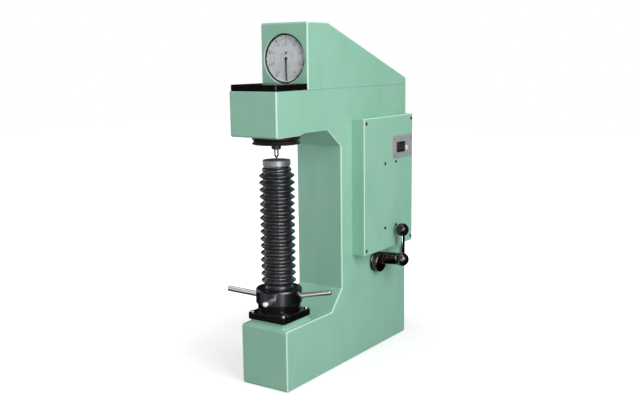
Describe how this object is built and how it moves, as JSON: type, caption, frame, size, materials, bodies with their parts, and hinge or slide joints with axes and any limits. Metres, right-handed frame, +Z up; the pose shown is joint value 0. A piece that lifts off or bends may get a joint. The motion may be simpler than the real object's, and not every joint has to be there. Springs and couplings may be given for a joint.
{
  "type": "hardness tester",
  "caption": "Bench hardness tester: a tall C-shaped casting with an elevating screw under bellows, a handwheel with rods, a spindle with indenter, a top dial and a side loading handle.",
  "frame": {"origin": "where the elevating screw's axis meets the base underside", "axes": "+Z up along the screw and spindle axis, +Y from the front to the back, +X to the side with the loading handle"},
  "size_m": [0.3031, 0.72, 0.98],
  "materials": {
    "mint_paint": "satin enamel over cast iron and sheet steel",
    "black_enamel": "black semi-gloss enamel",
    "black_oxide": "blackened machined steel",
    "bright_steel": "ground steel",
    "hard_steel": "ground and hardened steel",
    "chrome": "polished chrome",
    "bronze": "machined bronze",
    "bellows_rubber": "moulded black rubber",
    "cast_lever": "machined cast iron",
    "aluminium_plate": "brushed plate",
    "black_plastic": "gloss plastic",
    "rocker_plastic": "gloss plastic",
    "lamp_lens": "clear moulded lens",
    "knob_plastic": "polished phenolic",
    "dial_glass": "clear flat glass",
    "dial_white": "matt white scale",
    "pointer_black": "matt black",
    "transformer": "varnished laminations and winding"
  },
  "bodies": {
    "frame": {"frame_casting": "mint_paint", "front_cap_plate": "black_enamel", "upper_cover": "mint_paint", "rear_cover": "mint_paint", "rear_cover_screws": "bright_steel", "side_box_frame": "mint_paint", "side_box_panel": "mint_paint", "side_box_screws": "black_oxide", "lamp_transformer": "transformer", "switch_plate": "aluminium_plate", "switch_plate_screws": "chrome", "switch_body": "black_plastic", "pilot_lamp": "lamp_lens", "screw_seat_flange": "black_enamel", "seat_screws": "chrome", "guide_key": "bright_steel", "thrust_lower_race": "hard_steel", "thrust_balls": "hard_steel", "bellows": "bellows_rubber", "spindle_ring": "black_oxide", "spindle_guide": "bronze", "fulcrum_block": "cast_lever", "lever_pins": "hard_steel", "dashpot_cylinder": "aluminium_plate", "dashpot_lid": "aluminium_plate", "dashpot_shelf": "cast_lever", "handle_bush": "black_enamel", "shaft_end_bush": "cast_lever", "dial_centre_plate": "dial_white", "gauge_case": "aluminium_plate", "gauge_bracket": "cast_lever"},
    "handwheel": {"handwheel_hub": "black_enamel", "lift_nut": "bronze", "thrust_upper_race": "hard_steel", "capstan_rod_1": "chrome", "capstan_rod_2": "chrome", "capstan_rod_3": "chrome", "capstan_rod_4": "chrome"},
    "elevating_screw": {"elevating_screw": "bright_steel", "anvil": "hard_steel"},
    "spindle": {"spindle": "hard_steel", "indenter_chuck": "black_oxide", "indenter": "chrome"},
    "gauge_lever": {"gauge_lever": "bright_steel"},
    "gauge_plunger": {"gauge_plunger": "bright_steel"},
    "main_pointer": {"main_pointer": "pointer_black"},
    "counter_pointer": {"counter_pointer": "pointer_black"},
    "bezel": {"dial_bezel": "black_enamel", "dial_glass": "dial_glass", "dial_scale": "dial_white"},
    "load_handle": {"handle_shaft": "bright_steel", "load_cam": "hard_steel", "crank_arm": "black_enamel", "handle_rod": "chrome", "handle_knob": "knob_plastic"},
    "main_lever": {"main_lever": "cast_lever"},
    "lift_rod": {"lift_rod": "bright_steel"},
    "weights": {"weight_hanger": "bright_steel", "weight_discs": "black_oxide"},
    "rocker": {"rocker": "rocker_plastic"}
  },
  "joints": [
    {"name": "wheel_turn", "type": "hinge", "parent": "frame", "child": "handwheel", "pos_m": [0, 0, 0.245], "axis": [0, 0, 1], "range_deg": [-10805.73, 5.73]},
    {"name": "screw_lift", "type": "slide", "parent": "frame", "child": "elevating_screw", "axis": [0, 0, 1], "range_m": [-0.24, 0], "deforming": ["bellows"]},
    {"name": "spindle_rise", "type": "slide", "parent": "frame", "child": "spindle", "axis": [0, 0, 1], "range_m": [0, 0.0006]},
    {"name": "gauge_lever_tilt", "type": "hinge", "parent": "frame", "child": "gauge_lever", "pos_m": [0, -0.02, 0.78], "axis": [1, 0, 0], "range_deg": [0, 1.72]},
    {"name": "plunger_rise", "type": "slide", "parent": "frame", "child": "gauge_plunger", "axis": [0, 0, 1], "range_m": [0, 0.00294]},
    {"name": "pointer_turn", "type": "hinge", "parent": "frame", "child": "main_pointer", "pos_m": [0, 0.05, 0.885], "axis": [0, 1, 0], "range_deg": [-1.15, 1081.15]},
    {"name": "counter_turn", "type": "hinge", "parent": "frame", "child": "counter_pointer", "pos_m": [0, 0.05, 0.9], "axis": [0, 1, 0], "range_deg": [-0.11, 108.11]},
    {"name": "bezel_turn", "type": "hinge", "parent": "frame", "child": "bezel", "pos_m": [0, 0.05, 0.885], "axis": [0, 1, 0], "continuous": true},
    {"name": "handle_turn", "type": "hinge", "parent": "frame", "child": "load_handle", "pos_m": [0.1, 0.385, 0.2725], "axis": [-1, 0, 0], "range_deg": [-0.06, 60.06]},
    {"name": "lever_tilt", "type": "hinge", "parent": "frame", "child": "main_lever", "pos_m": [0, -0.025, 0.745], "axis": [-1, 0, 0], "range_deg": [0, 1]},
    {"name": "lift_rod_drop", "type": "slide", "parent": "frame", "child": "lift_rod", "axis": [0, 0, -1], "range_m": [-0.00001, 0.00716]},
    {"name": "weights_drop", "type": "slide", "parent": "frame", "child": "weights", "axis": [0, 0, -1], "range_m": [0, 0.00916]},
    {"name": "rocker_tip", "type": "hinge", "parent": "frame", "child": "rocker", "pos_m": [0.12, 0.464, 0.618], "axis": [0, 1, 0], "range_deg": [0, 16]}
  ],
  "couplings": [
    {"joint": "wheel_turn", "follows": "screw_lift", "rad_per_m": 785.4},
    {"joint": "gauge_lever_tilt", "follows": "spindle_rise", "rad_per_m": 50},
    {"joint": "plunger_rise", "follows": "spindle_rise", "ratio": 4.9},
    {"joint": "pointer_turn", "follows": "spindle_rise", "rad_per_m": 31416},
    {"joint": "counter_turn", "follows": "spindle_rise", "rad_per_m": 3141.6},
    {"joint": "handle_turn", "follows": "weights_drop", "rad_per_m": 114.29},
    {"joint": "lever_tilt", "follows": "weights_drop", "rad_per_m": 1.9048},
    {"joint": "lift_rod_drop", "follows": "weights_drop", "ratio": 0.78095}
  ]
}
